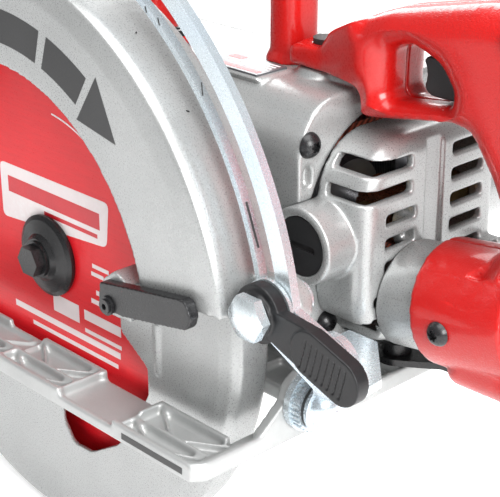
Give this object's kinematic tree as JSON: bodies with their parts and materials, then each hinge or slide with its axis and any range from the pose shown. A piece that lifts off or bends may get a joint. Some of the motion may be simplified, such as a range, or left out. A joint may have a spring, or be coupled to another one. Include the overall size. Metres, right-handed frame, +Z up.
{
  "type": "circular saw",
  "caption": "Worm-drive circular saw with a large blade, swinging lower guard, tilting ribbed foot, slotted depth link, vented motor and two moulded handles.",
  "frame": {"origin": "on the foot's underside plane, straight below the arbor, on the blade's mid-plane", "axes": "+X is the cutting direction, +Y the blade side, +Z up; the foot's sole faces -Z"},
  "size_m": [0.454, 0.1899, 0.3162],
  "materials": {
    "cast_silver": "satin silver paint over a fine cast surface",
    "cast_foot": "raw magnesium casting, satin",
    "zinc_steel": "bright zinc plate",
    "black_steel": "black oxide",
    "blade_coat": "red low-friction coating, satin",
    "carbide": "ground carbide",
    "bright_steel": "turned steel",
    "red_plastic": "glossy moulded, stippled grip",
    "black_plastic": "matt moulded",
    "black_rubber": "soft matt",
    "copper": "lacquered copper",
    "bronze": "machined bronze",
    "plate_print": "printed foil"
  },
  "bodies": {
    "foot": {"foot_plate": "cast_foot", "bevel_quadrant": "zinc_steel", "foot_screws": "black_steel"},
    "bevel_carriage": {"rear_bevel_bracket": "zinc_steel", "bevel_bolts": "zinc_steel", "knurled_washer": "zinc_steel", "black_spacer_ring": "black_rubber", "bolt_washer": "zinc_steel", "front_yoke": "cast_silver", "depth_pivot_pin": "zinc_steel", "bevel_lock_bolt": "zinc_steel", "link_rivet": "zinc_steel"},
    "bevel_lever": {"bevel_lever": "black_plastic"},
    "depth_link": {"depth_link": "zinc_steel"},
    "saw_body": {"upper_guard": "cast_silver", "guard_spring": "bright_steel", "armature_bearings": "bright_steel", "arbor_bearings": "bright_steel", "gear_case": "cast_silver", "front_cap": "cast_silver", "case_screws": "black_steel", "oil_plug": "bright_steel", "motor_housing": "cast_silver", "end_bell": "cast_silver", "housing_screws": "black_steel", "rear_tube": "cast_silver", "stator_core": "bright_steel", "field_windings": "copper", "brush_holders": "bronze", "carbon_brushes": "black_plastic", "brush_caps": "black_plastic", "rating_plate": "plate_print", "handle_left_half": "red_plastic", "handle_right_half": "red_plastic", "handle_screws": "black_steel", "handle_plug": "black_rubber", "power_switch": "black_plastic", "cord_inlet": "black_rubber", "front_handle": "red_plastic", "lock_bolt": "zinc_steel", "lock_washer": "zinc_steel", "hook_bolt": "black_steel"},
    "depth_lever": {"depth_lever": "black_plastic"},
    "lower_guard": {"lower_guard": "cast_silver", "lift_lever": "black_steel", "lever_screw": "black_steel"},
    "arbor": {"saw_blade": "blade_coat", "carbide_tips": "carbide", "arbor_shaft": "bright_steel", "worm_wheel": "bronze", "blade_flanges": "black_steel", "blade_bolt": "black_steel"},
    "armature": {"armature_shaft": "bright_steel", "worm": "bright_steel", "armature_core": "bright_steel", "commutator": "copper", "cooling_fan": "black_plastic"},
    "trigger": {"trigger": "black_plastic"},
    "spindle_lock": {"spindle_lock": "black_plastic"},
    "rafter_hook": {"rafter_hook": "black_steel"}
  },
  "joints": [
    {"name": "bevel_tilt", "type": "hinge", "parent": "foot", "child": "bevel_carriage", "pos_m": [0, -0.018, 0.017], "axis": [-1, 0, 0], "range_deg": [0, 45]},
    {"name": "depth_swing", "type": "hinge", "parent": "bevel_carriage", "child": "saw_body", "pos_m": [0.14, -0.043, 0.028], "axis": [0, 1, 0], "range_deg": [0, 30]},
    {"name": "link_swing", "type": "hinge", "parent": "bevel_carriage", "child": "depth_link", "pos_m": [-0.182, 0.005, 0.052], "axis": [0, -1, 0], "range_deg": [0, 11.1]},
    {"name": "bevel_clamp", "type": "hinge", "parent": "bevel_carriage", "child": "bevel_lever", "pos_m": [0.184, -0.018, 0.059], "axis": [1, 0, 0], "range_deg": [0, 50]},
    {"name": "depth_clamp", "type": "hinge", "parent": "saw_body", "child": "depth_lever", "pos_m": [-0.1545, 0.013, 0.0675], "axis": [0, 1, 0], "range_deg": [0, 55]},
    {"name": "guard_swing", "type": "hinge", "parent": "saw_body", "child": "lower_guard", "pos_m": [0, -0.009, 0.0407], "axis": [0, 1, 0], "range_deg": [0, 150], "stiffness_Nm_per_rad": 0.25, "springref_deg": -126.05},
    {"name": "arbor_spin", "type": "hinge", "parent": "saw_body", "child": "arbor", "pos_m": [0, -0.05, 0.0407], "axis": [0, -1, 0], "continuous": true},
    {"name": "armature_spin", "type": "hinge", "parent": "saw_body", "child": "armature", "pos_m": [0, -0.088, 0.076], "axis": [1, 0, 0], "continuous": true},
    {"name": "trigger_pull", "type": "slide", "parent": "saw_body", "child": "trigger", "axis": [-1, 0, 0], "range_m": [0, 0.006], "stiffness_N_per_m": 800, "springref_m": -0.004},
    {"name": "spindle_lock_press", "type": "slide", "parent": "saw_body", "child": "spindle_lock", "axis": [0, 0, -1], "range_m": [0, 0.005], "stiffness_N_per_m": 900, "springref_m": -0.003},
    {"name": "hook_swing", "type": "hinge", "parent": "saw_body", "child": "rafter_hook", "pos_m": [-0.141, -0.084, 0.011], "axis": [0, 0, -1], "range_deg": [0, 60]}
  ],
  "couplings": [
    {"joint": "link_swing", "follows": "depth_swing", "ratio": 0.37},
    {"joint": "armature_spin", "follows": "arbor_spin", "ratio": 5}
  ]
}
